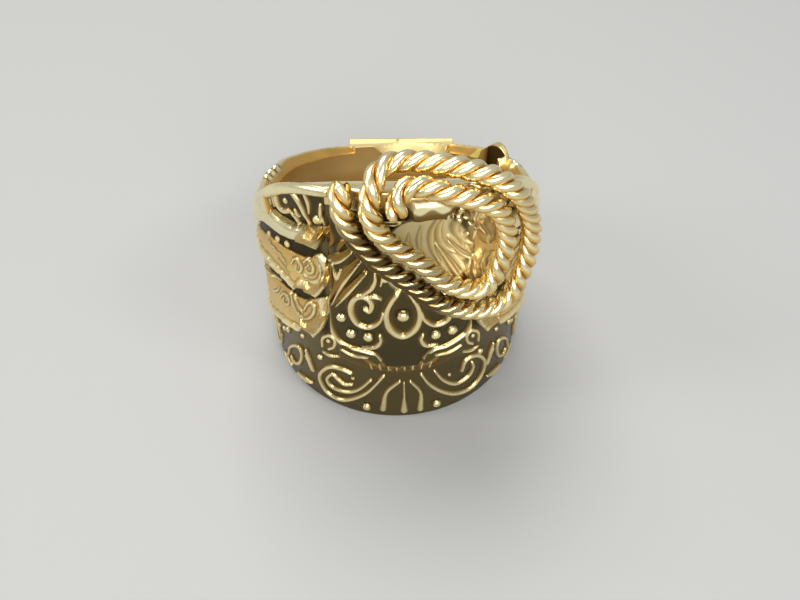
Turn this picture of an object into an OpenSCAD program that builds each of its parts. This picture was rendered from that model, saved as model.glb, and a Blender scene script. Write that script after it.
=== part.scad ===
// Saddle ring: a wide cast ring whose front is a western saddle with a coiled lariat.
// The ring lies on its wide foot rim, so the finger axis is Z and the saddle faces -Y.
// Azimuths are degrees round Z from the front, and grow towards +X.

/* [Ring] */
// Radius of the finger hole
bore_r = 10.1; // [10:0.05:10.2]
// Wall thickness of the plain band at the back
band_t = 1.2; // [1.1:0.05:1.3]
// Outer radius of the skirt, the wide foot under the saddle
skirt_r = 11.7; // [11.65:0.05:11.75]
// Height of the saddle's top rim at the front
front_h = 27.1; // [26.9:0.1:27.3]
// Height of the band's top edge at the back
back_h = 13.2; // [13:0.1:13.4]
// Height of the band's lower edge at the back
back_lift = 4.2; // [4:0.1:4.4]

/* [Saddle] */
// Outer radius of the raised front panel
panel_r = 12.3; // [12.2:0.05:12.4]
// Half width of the front panel, in degrees
panel_half = 24.5; // [24:0.5:25]
// Radius of the three flaps on each shoulder, at the ring's sides
flap_r = 11.85; // [11.8:0.05:11.9]
// How far a flap's rim stands out from the flap
flap_lip = 0.3; // [0.25:0.05:0.35]
// Height of the raised ornament
relief_h = 0.3; // [0.25:0.05:0.35]
// Depth of the hollow seat
seat_depth = 1.15; // [1:0.05:1.25]

/* [Lariat] */
// Diameter over the strands of the rope
rope_d = 1.6; // [1.5:0.05:1.6]
// Length of rope between one strand crest and the next
crest_gap = 1.15; // [1.1:0.05:1.3]

/* [Back] */
// Width of the flat plate at the back of the band
plate_w = 10.2; // [9.8:0.1:10.4]
// Distance of the plate's flat outer face from the finger axis
plate_y = 12.1; // [12:0.05:12.2]
// Width of the small pocket inside the right shoulder
pocket_w = 2.5; // [2.3:0.1:2.6]

/* [Hidden] */
$fn = 64;

// Radii and heights worked out from the sizes above
band_r = bore_r + band_t;
core_r = bore_r - 2;
rim_r = flap_r + flap_lip;
reach = 16;
wall_top = 30;
front_y = -reach;
back_y = reach;

// Plain shapes round the finger axis. The finger hole is cut through them all at the end.

module disc(outer, low, high) {
    translate([0, 0, low])
        cylinder(r = outer, h = high - low);
}

module tube(inner, outer, low, high) {
    translate([0, 0, low])
        difference() {
            cylinder(r = outer, h = high - low);
            translate([0, 0, -1])
                cylinder(r = inner, h = high - low + 2);
        }
}

// A stretch of wall from one azimuth to another
module sector(outer, low, high, from, to) {
    rotate([0, 0, from - 90])
        rotate_extrude(angle = to - from)
            translate([core_r, low])
                square([outer - core_r, high - low]);
}

// A side view in Y and Z, extruded right across the ring
module across(points) {
    rotate([90, 0, 90])
        translate([0, 0, -reach])
            linear_extrude(height = 2 * reach)
                polygon(points);
}

// A spot on the ring: local X runs round the ring, local Y up and local Z outwards
module spot(azimuth, height, radius) {
    rotate([0, 0, azimuth])
        translate([0, -radius, height])
            rotate([90, 0, 0])
                children();
}

module both_sides() {
    children();
    mirror([1, 0, 0])
        children();
}

// The ring's own side view. Columns: y, z.
TOP_EDGE = [
    [front_y, front_h],
    [-11.4, front_h],
    [-10.2, front_h - 0.5],
    [-8.9, front_h - 1.5],
    [-7.5, front_h - 2.9],
    [-6.3, front_h - 4.3],
    [-4.6, 20.9],
    [-2.6, 19.3],
    [0.4, 17.9],
    [3.6, 16.9],
    [5.3, 16.3],
    [6.9, 15.5],
    [8.2, 14.9],
    [9.4, back_h + 1.1],
    [10.4, back_h + 0.5],
    [11.2, back_h],
    [back_y, back_h],
];
FOOT_EDGE = [
    [back_y, back_lift],
    [11.0, back_lift],
    [8.8, back_lift - 1.3],
    [6.4, back_lift - 2.7],
    [3.8, 0.5],
    [1.4, 0],
    [front_y, 0],
];

module side_view() {
    across(concat(TOP_EDGE, FOOT_EDGE));
}

// The skirt: plain wall up to the saddle, fading into the band behind the shoulders
SKIRT_EDGE = [
    [front_y, -1],
    [front_y, wall_top],
    [3.2, wall_top],
    [5.0, 12.5],
    [5.6, 8.0],
    [4.6, 3.5],
    [2.6, -1],
];

module band() {
    disc(band_r, 0, wall_top);
}

module skirt() {
    intersection() {
        disc(skirt_r, 0, wall_top);
        across(SKIRT_EDGE);
    }
}

// The front panel steps out over the skirt, lower in the middle than at its sides
panel_top = 24.5;
PANEL_EDGE = [
    [front_y, 8.0],
    [-12.4, 8.0],
    [-11.0, 9.6],
    [-9.6, 10.4],
    [-9.6, panel_top],
    [front_y, panel_top],
];

module front_panel() {
    intersection() {
        sector(panel_r, 0, wall_top, -panel_half, panel_half);
        across(PANEL_EDGE);
    }
}

// The flaps of each shoulder. Columns: y, lower edge, upper edge.
FLAP_1 = [
    [-10.8, 21.7, wall_top],
    [-9.9, 20.6, wall_top],
    [-8.8, 20.3, wall_top],
    [-6.8, 19.7, wall_top],
    [-4.6, 18.1, wall_top],
    [-2.2, 16.3, wall_top],
    [1.2, 14.4, wall_top],
    [4.4, 13.0, wall_top],
];
FLAP_2 = [
    [-10.8, 16.6, 18.6],
    [-10.2, 15.5, 19.3],
    [-8.7, 14.6, 19.1],
    [-6.6, 14.8, 18.5],
    [-4.6, 14.2, 16.9],
    [-2.2, 13.8, 15.6],
    [1.2, 13.1, 14.3],
    [4.4, 12.4, 13.6],
];
FLAP_3 = [
    [-10.8, 11.4, 12.8],
    [-10.2, 10.1, 13.8],
    [-8.6, 9.0, 13.5],
    [-6.4, 7.6, 13.5],
    [-4.6, 6.8, 12.6],
    [-2.2, 5.5, 11.3],
    [1.2, 4.2, 9.7],
    [4.4, 3.1, 8.6],
];
flap_from = 28.5;
flap_to = 104;
top_rim_w = 1.9;
flap_rim_w = 1.3;
// The flaps are round about a line ahead of the finger axis, so they stand out more towards the front
flap_shift = 0.45;

function flap_outline(rows) = concat(
    [for (row = rows) [row[0], row[1]]],
    [for (i = [len(rows) - 1:-1:0]) [rows[i][0], rows[i][2]]]
);

function lower_rim_outline(rows, width) = concat(
    [for (row = rows) [row[0], row[1]]],
    [for (i = [len(rows) - 1:-1:0]) [rows[i][0], rows[i][1] + width]]
);

module ahead(shift) {
    translate([0, -shift, 0])
        children();
}

module flap(rows, rim_w) {
    intersection() {
        ahead(flap_shift)
            sector(flap_r, 0, wall_top, flap_from, flap_to);
        across(flap_outline(rows));
    }
    intersection() {
        ahead(flap_shift)
            sector(rim_r, 0, wall_top, flap_from, flap_to);
        across(lower_rim_outline(rows, rim_w));
    }
}

// The polished rim along the top edge of the shoulders
shoulder_rim_w = 1.3;
shoulder_rim_shift = 0.65;
SHOULDER_RIM = concat(
    [for (row = TOP_EDGE) if (row[0] < 5) [row[0], row[1] + 1]],
    [for (i = [len(TOP_EDGE) - 1:-1:0]) if (TOP_EDGE[i][0] < 5) TOP_EDGE[i] - [0, shoulder_rim_w]]
);

module shoulder_rim() {
    intersection() {
        ahead(shoulder_rim_shift)
            sector(rim_r - 0.25, 0, wall_top, panel_half - 2, flap_to - 1);
        across(SHOULDER_RIM);
    }
}

module flaps() {
    both_sides() {
        flap(FLAP_1, top_rim_w);
        flap(FLAP_2, flap_rim_w);
        flap(FLAP_3, flap_rim_w);
        shoulder_rim();
    }
}

// The seat is a round hollow under the cantle, which closes the saddle's top
seat_az = 8;
seat_h = 20.9;
seat_ball_r = 9;
cantle_foot = 25.3;
cantle_half = 26;
roll_r = 0.8;
roll_h = 25.8;
roll_from = 3.5;
roll_to = 17;

module seat_hollow() {
    spot(seat_az, seat_h, panel_r + seat_ball_r - seat_depth)
        sphere(r = seat_ball_r, $fn = 96);
}

module cantle() {
    intersection() {
        sector(panel_r - 0.2, cantle_foot, wall_top, -cantle_half, cantle_half);
        side_view();
    }
}

// The roll along the front of the cantle
module cantle_roll() {
    rotate([0, 0, roll_from - 90])
        rotate_extrude(angle = roll_to - roll_from)
            translate([panel_r - 0.1, roll_h])
                circle(r = roll_r, $fn = 32);
}

// The back of the band swells into a flat plate, scooped out towards the finger
plate_in_w = 5.4;
plate_x = 0.68;
plate_turn = 2;
scoop_r = 4.2;
scoop_x = 0.5;
scoop_tilt = 50;
scoop_lip = 1.1;

module at_plate() {
    translate([plate_x, 0, 0])
        rotate([0, 0, -plate_turn])
            children();
}

module back_plate() {
    intersection() {
        tube(core_r, reach, back_lift, back_h);
        linear_extrude(height = wall_top)
            at_plate()
                polygon([
                    [-plate_w / 2, plate_y],
                    [plate_w / 2, plate_y],
                    [plate_w / 2, plate_y - 1.2],
                    [plate_in_w / 2, bore_r - 1],
                    [-plate_in_w / 2, bore_r - 1],
                    [-plate_w / 2, plate_y - 1.2],
                ]);
    }
}

module plate_scoop() {
    at_plate()
        translate([scoop_x, bore_r + scoop_lip, back_h])
            rotate([90 + scoop_tilt, 0, 0])
                translate([0, scoop_r, -4])
                    cylinder(r = scoop_r, h = 8, $fn = 128);
}

// The small pocket on the inside of the right shoulder. It is open at the top, with a sloping floor,
// and a low arch in the top edge closes it at the back.
pocket_az = 119.8;
pocket_floor = 14.8;
pocket_fall = 0.68;
pocket_deep = 0.85;
arch_az = 118.5;
arch_r = 1.9;
arch_h = 15.1;
arch_out = 11.5;

module pocket_arch() {
    spot(arch_az, arch_h, core_r)
        cylinder(r = arch_r, h = arch_out - core_r);
}

module pocket() {
    half = pocket_w / 2;
    spot(pocket_az, pocket_floor, core_r)
        linear_extrude(height = bore_r + pocket_deep - core_r)
            polygon([
                [-half, half * pocket_fall],
                [half, -half * pocket_fall],
                [half, 4],
                [-half, 4],
            ]);
}

module finger_hole() {
    translate([0, 0, -1])
        cylinder(r = bore_r, h = wall_top + 2);
}

// Raised ornament. Each stroke is a short wall that the relief shell trims to height.
stroke_w = 0.42;

module arc_stroke(azimuth, x, height, radius, start, sweep) {
    spot(azimuth, height, panel_r)
        translate([x, 0, -3])
            rotate([0, 0, start])
                rotate_extrude(angle = sweep)
                    translate([radius - stroke_w / 2, 0])
                        square([stroke_w, 4]);
}

module bar_stroke(azimuth, x1, z1, x2, z2) {
    spot(azimuth, z1, panel_r)
        translate([x1, 0, -3])
            rotate([0, 0, atan2(z2 - z1, x2 - x1)])
                translate([0, -stroke_w / 2, 0])
                    cube([norm([x2 - x1, z2 - z1]), stroke_w, 4]);
}

// Curls of the skirt, on both sides. Columns: azimuth, x, z, radius, start, sweep.
SKIRT_ARCS = [
    [-28, 0, 3.6, 2.25, 80, 195],
    [-28, -1.3, 7.3, 5.9, 290, 55],
    [-30, -0.2, 3.7, 0.95, 40, 230],
    [-30, -0.9, 7.4, 4.65, 290, 48],
    [-54, 0, 3.8, 1.35, -30, 260],
    [0, 2.9, 1.2, 4.6, 121, 60],
    [-31, 0, 9.2, 0.75, 20, 200],
];
// Straight leaves of the skirt. Columns: azimuth, x1, z1, x2, z2.
SKIRT_BARS = [
    [-48, -1.1, 1.0, 0.9, 1.3],
    [-43, -0.4, 6.2, 0.4, 3.6],
    [-66, -0.6, 1.2, 0.4, 1.7],
];
// Beads of the skirt. Columns: azimuth, z.
SKIRT_BEADS = [
    [-15.5, 1.15],
    [-21, 5.2],
    [-36.5, 6.4],
    [-58.5, 5.2],
    [-62, 5.5],
];
// Curls of the front panel, on both sides
PANEL_ARCS = [
    [-12, 0.1, 15.1, 1.5, 55, 300],
    [-12, 0.1, 15.7, 0.5, 150, 200],
    [-17, 0, 12.9, 2.45, 170, 118],
    [-12, 0, 11.9, 1.0, 262, 105],
    [-10, 0.6, 20.4, 2.6, 205, 70],
];
PANEL_BARS = [
    [0, -1.15, 15.0, 0, 17.9],
    [-12, -3.1, 15.6, -2.0, 18.2],
    [-12, -2.0, 18.2, 0.0, 21.0],
    [-12, -2.5, 15.4, -1.4, 18.0],
    [-12, -1.4, 18.0, 0.6, 20.8],
    [-20, -1.3, 20.6, 0.9, 22.0],
    [-10, -0.6, 10.4, 0.4, 9.3],
];
PANEL_BEADS = [
    [-22.6, 13.9],
    [-19.2, 12.2],
    [-12.6, 12.2],
];
// Beads in the gap under the top flap, on both sides
FLAP_BEADS = [
    [-57.5, 19.0],
    [-51.5, 19.4],
    [-46, 19.6],
];
bead_r = 0.5;

module strokes(arcs, bars) {
    for (a = arcs)
        arc_stroke(a[0], a[1], a[2], a[3], a[4], a[5]);
    for (b = bars)
        bar_stroke(b[0], b[1], b[2], b[3], b[4]);
}

module beads(rows, radius) {
    for (row = rows)
        spot(row[0], row[1], radius)
            sphere(r = bead_r, $fn = 32);
}

module skirt_relief() {
    intersection() {
        tube(skirt_r - 0.2, skirt_r + relief_h, 0, 11);
        union() {
            both_sides()
                strokes(SKIRT_ARCS, SKIRT_BARS);
            bar_stroke(0, 0, 1.0, 0, 5.2);
        }
    }
    both_sides()
        beads(SKIRT_BEADS, skirt_r);
}

module panel_relief() {
    intersection() {
        tube(panel_r - 0.2, panel_r + relief_h, 9, 23);
        union() {
            both_sides()
                strokes(PANEL_ARCS, PANEL_BARS);
            arc_stroke(0, 0, 14.4, 1.2, 163, 214);
        }
    }
    both_sides()
        beads(PANEL_BEADS, panel_r);
    beads([[0, 15.0], [-5.2, 19.0]], panel_r);
    both_sides()
        beads(FLAP_BEADS, skirt_r);
}

module saddle_ring() {
    color("#d9b45a")
        difference() {
            union() {
                difference() {
                    intersection() {
                        union() {
                            band();
                            skirt();
                            front_panel();
                            flaps();
                        }
                        side_view();
                    }
                    seat_hollow();
                }
                cantle();
                cantle_roll();
                pocket_arch();
                back_plate();
                skirt_relief();
                panel_relief();
            }
            finger_hole();
            plate_scoop();
            pocket();
        }
}

// The lariat is one rope, coiled twice in a growing oval spiral. It lies on a sheet that follows
// the saddle's bulging front and bends back over its top. X and S are distances on that sheet.
first_turn = 0.05;
turns = 2.03;
coil_x = 3.2;
coil_s = 22.9;
coil_tilt = -43;
coil_start = 200;
squash = 0.6;
coil_y = -13.45;
front_bulge = 26;
bend_s = 25.9;
bend_r = 3;

// The hand-laid oval at each twelfth of its way round. Columns: radius, growth in one turn.
OVAL = [
    [3.7, 3.0],
    [3.95, 2.55],
    [4.75, 2.5],
    [5.95, 2.6],
    [5.8, 2.6],
    [6.3, 2.15],
    [4.9, 2.2],
    [3.55, 2.55],
    [0.85, 3.55],
    [1.35, 3.0],
    [2.55, 3.45],
    [4.3, 3.55],
];
twelfth = 360 / len(OVAL);

function oval_row(i) = OVAL[(i % len(OVAL) + len(OVAL)) % len(OVAL)];

// A smooth value between the rows, at a part f of the way from row i to the next
function smooth_row(i, f) =
    let (
        a = oval_row(i - 1),
        b = oval_row(i),
        c = oval_row(i + 1),
        d = oval_row(i + 2)
    )
    (2 * b + f * (c - a) + f * f * (2 * a - 5 * b + 4 * c - d) + f * f * f * (3 * b - a - 3 * c + d)) / 2;

function sheet_point(t) =
    let (
        angle = coil_start - 360 * t,
        i = floor(angle / twelfth),
        row = smooth_row(i, angle / twelfth - i),
        radius = row[0] + t * row[1],
        along = radius * cos(angle),
        side = squash * radius * sin(angle)
    )
    [
        coil_x + along * cos(coil_tilt) - side * sin(coil_tilt),
        coil_s + along * sin(coil_tilt) + side * cos(coil_tilt)
    ];

function bend_angle(s) = max(0, s - bend_s) / bend_r * 180 / PI;

function rope_point(t) =
    let (
        p = sheet_point(t),
        bend = bend_angle(p[1])
    )
    [
        p[0],
        coil_y + p[0] * p[0] / front_bulge + bend_r * (1 - cos(bend)),
        min(p[1], bend_s) + bend_r * sin(bend)
    ];

// The path's length at each of many small steps. Columns: length, turn.
path_steps = 400;
function turn_at(i) = first_turn + (turns - first_turn) * i / path_steps;
PATH_LENGTH = [
    for (i = 0, s = 0; i <= path_steps; s = s + norm(rope_point(turn_at(i + 1)) - rope_point(turn_at(i))), i = i + 1)
        [s, turn_at(i)]
];
rope_length = PATH_LENGTH[path_steps][0];

// The section has three strand crests, and turns by one of its points at each ring
section_points = 9;
strands = 3;
valley = 0.7;
ring_gap = crest_gap * strands / section_points;
rings = floor(rope_length / ring_gap);

function unit(v) = v / norm(v);
function section_r(k) = rope_d / 2 * (k % strands == 0 ? 1 : valley);
function end_scale(i) = i == 0 || i == rings ? 0.45 : 1;

function rope_ring(i) =
    let (
        t = lookup(i * ring_gap, PATH_LENGTH),
        p = rope_point(t),
        ahead = unit(rope_point(t + 0.002) - rope_point(t - 0.002)),
        side = unit(cross(ahead, [0, -1, 0])),
        out = cross(side, ahead)
    )
    [
        for (k = [0:section_points - 1])
            let (angle = 360 / section_points * (k - i))
                p + end_scale(i) * section_r(k) * (cos(angle) * out + sin(angle) * side)
    ];

module lariat() {
    points = [for (i = [0:rings]) each rope_ring(i)];
    n = section_points;
    walls = [
        for (i = [0:rings - 1], k = [0:n - 1])
            let (
                a = i * n + k,
                b = i * n + (k + 1) % n
            )
            each [[a, b, b + n], [a, b + n, a + n]]
    ];
    first_cap = [for (k = [1:n - 2]) [0, k + 1, k]];
    last = rings * n;
    last_cap = [for (k = [1:n - 2]) [last, last + k, last + k + 1]];
    color("#e6c878")
        polyhedron(points = points, faces = concat(walls, first_cap, last_cap), convexity = 12);
}

saddle_ring();
lariat();
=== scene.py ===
"""Dresses the saddle ring: a detailed cast body, a twisted rope, gold materials, and a pale studio.

Lengths are in millimetres until a mesh is made. Azimuths are degrees round Z from the front, and grow
towards +X.
"""

import bpy
import numpy as np
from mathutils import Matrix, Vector


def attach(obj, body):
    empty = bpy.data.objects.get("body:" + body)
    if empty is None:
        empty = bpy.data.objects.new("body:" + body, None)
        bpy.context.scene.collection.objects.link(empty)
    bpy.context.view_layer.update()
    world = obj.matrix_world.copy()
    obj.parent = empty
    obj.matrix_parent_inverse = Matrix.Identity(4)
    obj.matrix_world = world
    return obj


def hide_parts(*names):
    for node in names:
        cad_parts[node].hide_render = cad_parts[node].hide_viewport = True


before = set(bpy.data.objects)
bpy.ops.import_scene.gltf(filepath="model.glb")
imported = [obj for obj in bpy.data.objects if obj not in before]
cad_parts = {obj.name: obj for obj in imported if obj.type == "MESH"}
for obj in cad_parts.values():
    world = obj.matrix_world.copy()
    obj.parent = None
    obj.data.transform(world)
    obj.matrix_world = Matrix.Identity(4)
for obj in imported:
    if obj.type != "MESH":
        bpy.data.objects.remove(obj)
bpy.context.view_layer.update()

MM = 0.001

# Sizes of the ring, as in the part's source
BORE_R = 10.1
BAND_R = 11.3
SKIRT_R = 11.7
PANEL_R = 12.3
PANEL_TOP = 24.5
BACK_H = 13.2
BACK_LIFT = 4.2
PLATE_Y = 12.1
PLATE_HALF = 5.1
PLATE_END = 1.2
PLATE_X = 0.68
PLATE_TURN = np.radians(2)
SCOOP_R = 4.2
SCOOP_X = 0.5
SCOOP_AXIS_Y, SCOOP_AXIS_Z = 7.98, 15.90
SCOOP_COS, SCOOP_SIN = 0.643, 0.766
ARCH_AZ = 118.5
ARCH_R = 1.9
ARCH_H = 15.1
POCKET_AZ = 119.8
POCKET_HALF = 1.25
POCKET_FLOOR = 14.8
POCKET_FALL = 0.68
POCKET_DEEP = 0.85
SEAT_AZ = 8
SEAT_H = 20.9
SEAT_BALL_R = 9
SEAT_BALL_OUT = 20.15
CANTLE_FOOT = 25.3
CANTLE_HALF = 26
# Side view of the ring. Columns: y, z.
TOP_EDGE = [(-11.4, 27.1), (-10.2, 26.6), (-8.9, 25.6), (-7.5, 24.2), (-6.3, 22.8), (-4.6, 20.9),
            (-2.6, 19.3), (0.4, 17.9), (3.6, 16.9), (5.3, 16.3), (6.9, 15.5), (8.2, 14.9), (9.4, 14.3),
            (10.4, 13.7), (11.2, BACK_H)]
FOOT_EDGE = [(-16, 0), (1.4, 0), (3.8, 0.5), (6.4, 1.5), (8.8, 2.9), (11.0, BACK_LIFT), (16, BACK_LIFT)]

# Radii that the forms which only this script adds start from, and the most that any of them reaches
RECESS_R = 11.72
RIM_R = 11.75
RAISED_R = 11.8
FLAP_R = 11.85
CANTLE_R = 12.1
ROLL_R = 12.12
MOST_R = 12.78
# The wall's radius, as a first guess where its height is worked out before it
FIRST_R = 12.0
# How far the low lip under the front panel stands out
LIP_STEP = 0.30
# Azimuths between which the flaps end at the back
FLAP_END = (102.5, 104.5)
# Half width, in degrees, of the upright rim in the top flap's recess
POST_HALF = 2.6066
# Half width, in millimetres, of the flat part of the lip round the pocket
POCKET_RIM = 1.7
# Radii at which azimuths are turned into widths: of the ornament, of the arch and of the pocket
UNROLL_R = 12.1
ARCH_AT_R = 11
POCKET_AT_R = 10.9
# Rounding of the wall's two outer edges, with the depths of the rows in it
ROUND = 0.14
ROUND_ROWS = np.array([0, 0.03, 0.075])
# How deep the finely divided stretch of the finger hole goes
INNER_FINE = 3.4

# Colours of the gold, from its brightest rims down to the dark ground of the ornament. The ground's darkness
# is a painted reflection. PALE also serves for painted highlights, and the dark ones for painted shade
PALE = (0.97, 0.87, 0.52)
YELLOW = (0.98, 0.80, 0.20)
GOLD = (0.86, 0.62, 0.20)
AMBER = (0.64, 0.34, 0.06)
DARK = (0.054, 0.045, 0.020)
# Painted shade for the gaps between the flaps
GAP_SHADE = (0.0432, 0.0306, 0.0096)


# Shaping functions

def smooth(x, low, high):
    """0 below low and 1 above high, with a soft step between them."""
    t = np.clip((x - low) / (high - low), 0, 1)
    return t * t * (3 - 2 * t)


def between(x, low, low_in, high_in, high):
    """1 from low_in to high_in, fading to 0 at low and at high."""
    return smooth(x, low, low_in) * (1 - smooth(x, high_in, high))


def line_at(x, width):
    """A soft line where x is 0."""
    return np.exp(-(x / width) ** 2)


def dome(x):
    """A half round over x from -1 to 1."""
    return np.sqrt(np.clip(1 - x * x, 0, 1))


def rim_section(u, start, span):
    """The rounded section of a rim, over u from 0 to 1."""
    return np.sqrt(np.clip(np.sin(np.pi * np.clip(start + u * span, 0, 1)), 0, 1))


def mix(a, b, t):
    """The colour at a part t of the way from a to b."""
    t = np.asarray(t)[..., None]
    return np.asarray(a) * (1 - t) + np.asarray(b) * t


def look_up(table, x, value=1):
    """A value from a table whose first column is x."""
    return np.interp(x, [row[0] for row in table], [row[value] for row in table])


def cubic(a, b, c, d, t):
    """A smooth value between b and c, at a part t of the way."""
    return 0.5 * (2 * b + (c - a) * t + (2 * a - 5 * b + 4 * c - d) * t ** 2
                  + (3 * b - a - 3 * c + d) * t ** 3)


def spline(points, steps=7):
    """A smooth curve through the points."""
    p = np.array(points, float)
    p = np.vstack([2 * p[0] - p[1], p, 2 * p[-1] - p[-2]])
    curve = [cubic(a, b, c, d, t)
             for a, b, c, d in zip(p[:-3], p[1:-2], p[2:-1], p[3:]) for t in np.arange(steps) / steps]
    return np.array(curve + [p[-2]])


# Side view of the ring

TOP_LINE = spline(TOP_EDGE)
FOOT_LINE = np.vstack([FOOT_EDGE[0], spline(FOOT_EDGE[1:-1]), FOOT_EDGE[-1]])


def top_of(x, y):
    """Height of the top edge, with the low arch behind the pocket."""
    top = np.interp(y, TOP_LINE[:, 0], TOP_LINE[:, 1])
    across = np.radians(np.degrees(np.arctan2(x, -y)) - ARCH_AZ) * ARCH_AT_R
    arch = ARCH_H + np.sqrt(np.clip(ARCH_R ** 2 - across ** 2, 0, None))
    return np.where(np.abs(across) < ARCH_R, np.maximum(top, arch), top)


def foot_of(y):
    return np.interp(y, FOOT_LINE[:, 0], FOOT_LINE[:, 1])


def turned(x, y):
    """A direction seen from the back plate, which is turned a little."""
    c, s = np.cos(PLATE_TURN), np.sin(PLATE_TURN)
    return x * c - y * s, x * s + y * c


def from_plate(x, y):
    """A place seen from the back plate, which is also set a little to one side."""
    return turned(x - PLATE_X, y)


def scoop_of(x, y):
    """Height of the scoop that hollows the back of the band towards the finger."""
    px, py = from_plate(x, y)
    inner = SCOOP_R ** 2 - (px - SCOOP_X) ** 2
    rise = (SCOOP_SIN * (py - SCOOP_AXIS_Y) - np.sqrt(np.clip(inner, 0, None))) / SCOOP_COS
    return np.where(inner > 0, SCOOP_AXIS_Z + rise, 99)


# Ornament: strokes and beads in azimuth and height
# Strokes. Columns: 1 if mirrored too, half width at the start, middle and end, height, points.

SKIRT_STROKES = [
    (0, 0.14, 0.22, 0.20, 0.30, [(-7.5, 6.3), (-15, 3.5), (-23, 1.75), (-29, 1.15), (-35, 1.5), (-38, 3.0),
                                 (-36, 4.4), (-31.4, 5.7), (-26.4, 6.1), (-21.8, 5.9)]),
    (0, 0.12, 0.20, 0.16, 0.28, [(-13, 5.5), (-18.6, 3.7), (-24.4, 2.8), (-31.4, 2.7), (-33.8, 3.5),
                                 (-30.7, 4.7), (-27.9, 4.3), (-25.1, 3.9), (-21.7, 4.2)]),
    (0, 0.14, 0.22, 0.20, 0.30, [(8.2, 6.3), (11.9, 4.6), (17.7, 3.0), (24.9, 1.8), (33.8, 1.5), (39.3, 2.7),
                                 (39.6, 4.5), (34, 6.2), (28.6, 6.3), (26.9, 5.1)]),
    (0, 0.12, 0.20, 0.16, 0.28, [(13.9, 6.4), (18.3, 4.6), (24.4, 3.4), (30.6, 3.6), (33, 4.6), (32.1, 5.5)]),
    (0, 0.10, 0.16, 0.30, 0.28, [(-0.8, 5.6), (-6.3, 3.9), (-8.2, 1.2)]),
    (0, 0.08, 0.13, 0.34, 0.28, [(1.0, 5.3), (1.1, 3.0), (1.1, 1.0)]),
    (0, 0.10, 0.16, 0.30, 0.28, [(3.6, 5.5), (8.1, 3.6), (8.3, 1.0)]),
    (1, 0.14, 0.20, 0.16, 0.28, [(-60.9, 2.1), (-57, 4.1), (-50.1, 5.6), (-47.9, 4.9), (-50.5, 3.1),
                                 (-55.3, 2.1), (-57.7, 2.5)]),
    (1, 0.08, 0.16, 0.08, 0.26, [(-42.3, 3.5), (-43.8, 4.6), (-45.1, 5.3)]),
    (1, 0.10, 0.42, 0.10, 0.30, [(-53.5, 1.0), (-48.0, 1.0), (-43.2, 1.4)]),
    (1, 0.08, 0.26, 0.08, 0.28, [(-44.5, 6.1), (-43.2, 4.9), (-41, 3.6)]),
    (1, 0.14, 0.20, 0.14, 0.26, [(-34.2, 8.3), (-33.6, 9.4), (-30.4, 10.2), (-27.7, 9.9), (-28.5, 8.9),
                                 (-31.1, 8.3)]),
    (1, 0.08, 0.18, 0.08, 0.24, [(-34.5, 7.5), (-30.5, 7.4), (-25.6, 7.9)]),
    (1, 0.08, 0.16, 0.08, 0.22, [(-24.5, 9.3), (-19.5, 8.9), (-13.5, 9.0)]),
    (1, 0.08, 0.30, 0.08, 0.26, [(-66.5, 1.3), (-62.5, 1.0), (-58.0, 1.1)]),
    (1, 0.12, 0.20, 0.14, 0.28, [(-88, 3.2), (-83, 5.0), (-75.5, 5.3), (-73.2, 3.9), (-76, 2.4), (-80.5, 2.6),
                                 (-80, 3.8)]),
    (1, 0.10, 0.18, 0.10, 0.26, [(-98, 2.4), (-93, 1.3), (-85, 1.0), (-76, 1.0), (-69.5, 2.0), (-66, 4.0)]),
    (1, 0.08, 0.26, 0.08, 0.26, [(-70.5, 5.6), (-68.6, 4.2), (-69.2, 3.0)]),
]
PANEL_STROKES = [
    (0, 0.14, 0.20, 0.10, 0.32, [(-26.3, 16.6), (-27.6, 14.6), (-27.4, 12.6), (-25.4, 11.2), (-21.3, 10.5),
                                 (-14.9, 10.3), (-10.3, 10.0), (-8.0, 9.3)]),
    (0, 0.14, 0.20, 0.10, 0.32, [(26.3, 16.6), (27.8, 14.6), (28.0, 12.8), (25.8, 11.4), (22.5, 10.9),
                                 (16.8, 10.4), (12, 10.3), (8.4, 9.4)]),
    (0, 0.08, 0.20, 0.12, 0.28, [(-14.9, 10.75), (-10.2, 10.95), (-8.0, 11.7), (-8.2, 12.5)]),
    (0, 0.08, 0.20, 0.12, 0.28, [(13.4, 10.85), (8.9, 11.0), (7.1, 11.8), (7.6, 12.4)]),
    (1, 0.12, 0.27, 0.17, 0.34, [(-6.8, 15.3), (-8.3, 14.2), (-12.1, 13.45), (-16.5, 13.7), (-18.5, 14.9),
                                 (-17.6, 16.2), (-14.8, 16.95), (-12, 16.8), (-10.6, 16.1), (-11.6, 15.4),
                                 (-13.2, 15.6)]),
    (1, 0.12, 0.20, 0.10, 0.28, [(-14.2, 17.1), (-10.8, 17.9), (-9.3, 18.8), (-9.2, 19.6)]),
    (1, 0.08, 0.22, 0.06, 0.28, [(-12.0, 16.95), (-9.8, 17.1), (-7.2, 16.9)]),
    (0, 0.16, 0.30, 0.16, 0.36, [(-0.2, 18.0), (-3.7, 16.7), (-5.6, 15.1), (-4.4, 13.4), (0.3, 12.5),
                                 (5.0, 13.4), (6.2, 15.0), (4.3, 16.7), (0.2, 18.0)]),
    (1, 0.05, 0.15, 0.05, 0.38, [(-25.6, 15.3), (-21.6, 17.5), (-17.0, 19.5), (-12.6, 21.3)]),
    (1, 0.05, 0.14, 0.05, 0.34, [(-24.1, 15.2), (-18.0, 17.4), (-12.0, 19.7)]),
    (1, 0.05, 0.14, 0.05, 0.34, [(-26.2, 19.9), (-21.2, 20.4), (-16.6, 21.6)]),
    (1, 0.08, 0.22, 0.10, 0.26, [(-24.8, 19.6), (-23.0, 18.6), (-21.2, 19.4)]),
    (0, 0.08, 0.20, 0.08, 0.26, [(-3.8, 20.9), (-5.8, 20.0), (-7.4, 18.4)]),
]
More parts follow.
